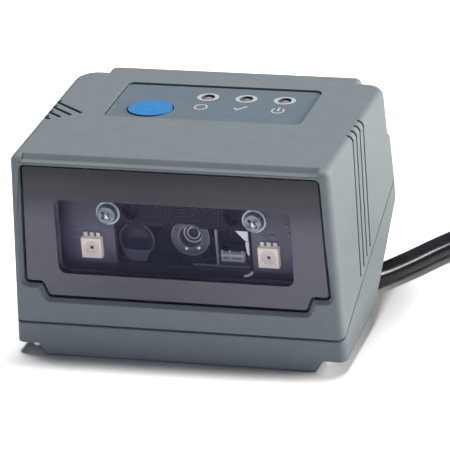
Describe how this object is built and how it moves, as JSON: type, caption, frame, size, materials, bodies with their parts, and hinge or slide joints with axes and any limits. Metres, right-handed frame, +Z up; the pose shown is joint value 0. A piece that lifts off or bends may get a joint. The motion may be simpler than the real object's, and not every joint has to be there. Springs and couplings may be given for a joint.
{
  "type": "fixed barcode reader",
  "caption": "Fixed-mount barcode reader: grey two-part housing, tinted window over imager and LEDs, top label with push key and indicator lights, cable with plug.",
  "frame": {"origin": "middle of the underside of the pad that the reader stands on", "axes": "+X across the window, +Y from the window to the back, +Z up"},
  "size_m": [0.2149, 0.0994, 0.0505],
  "materials": {
    "housing_grey": "fine moulded texture",
    "window_tint": "polished, smoke tint",
    "gasket_foam": "matt",
    "label_film": "satin printed film",
    "key_blue": "satin",
    "black_plastic": "matt",
    "switch_body": "satin",
    "circuit_board": "solder mask",
    "screw_steel": "plated",
    "clear_plastic": "polished",
    "led_package": "satin",
    "washer_zinc": "bright zinc",
    "barrel_metal": "dark anodised",
    "lens_glass": "coated",
    "chip_epoxy": "matt",
    "insert_brass": "turned",
    "cable_jacket": "smooth",
    "tie_strap": "matt",
    "plug_plastic": "satin",
    "plug_steel": "plated"
  },
  "bodies": {
    "reader": {"upper_housing": "housing_grey", "base_housing": "housing_grey", "window_panel": "window_tint", "window_gasket": "gasket_foam", "overlay_label": "label_film", "tact_switch": "switch_body", "key_board": "circuit_board", "key_board_screws": "screw_steel", "light_pipes": "clear_plastic", "status_leds": "led_package", "illumination_board": "circuit_board", "illumination_led_left": "led_package", "illumination_led_right": "led_package", "board_screws": "screw_steel", "board_washers": "washer_zinc", "optics_chassis": "black_plastic", "imager_barrel": "barrel_metal", "imager_lens": "lens_glass", "image_sensor": "chip_epoxy", "sensor_board": "circuit_board", "aimer_barrel": "black_plastic", "aimer_lens": "lens_glass", "prism_holder": "black_plastic", "aimer_prism": "clear_plastic", "decode_board": "circuit_board", "decode_screws": "screw_steel", "processor_chip": "chip_epoxy", "beeper": "black_plastic", "cable_connector": "switch_body", "case_screws": "screw_steel", "mount_inserts": "insert_brass", "cable_gland": "cable_jacket", "cable": "cable_jacket", "cable_coil": "cable_jacket", "coil_tie": "tie_strap", "cable_tail": "cable_jacket", "plug_grip": "plug_plastic", "plug_shell": "plug_steel", "plug_tongue": "switch_body"},
    "key": {"push_key": "key_blue", "switch_plunger": "black_plastic"}
  },
  "joints": [
    {"name": "key_press", "type": "slide", "parent": "reader", "child": "key", "axis": [0, 0, -1], "range_m": [0, 0.0003], "stiffness_N_per_m": 3000}
  ]
}
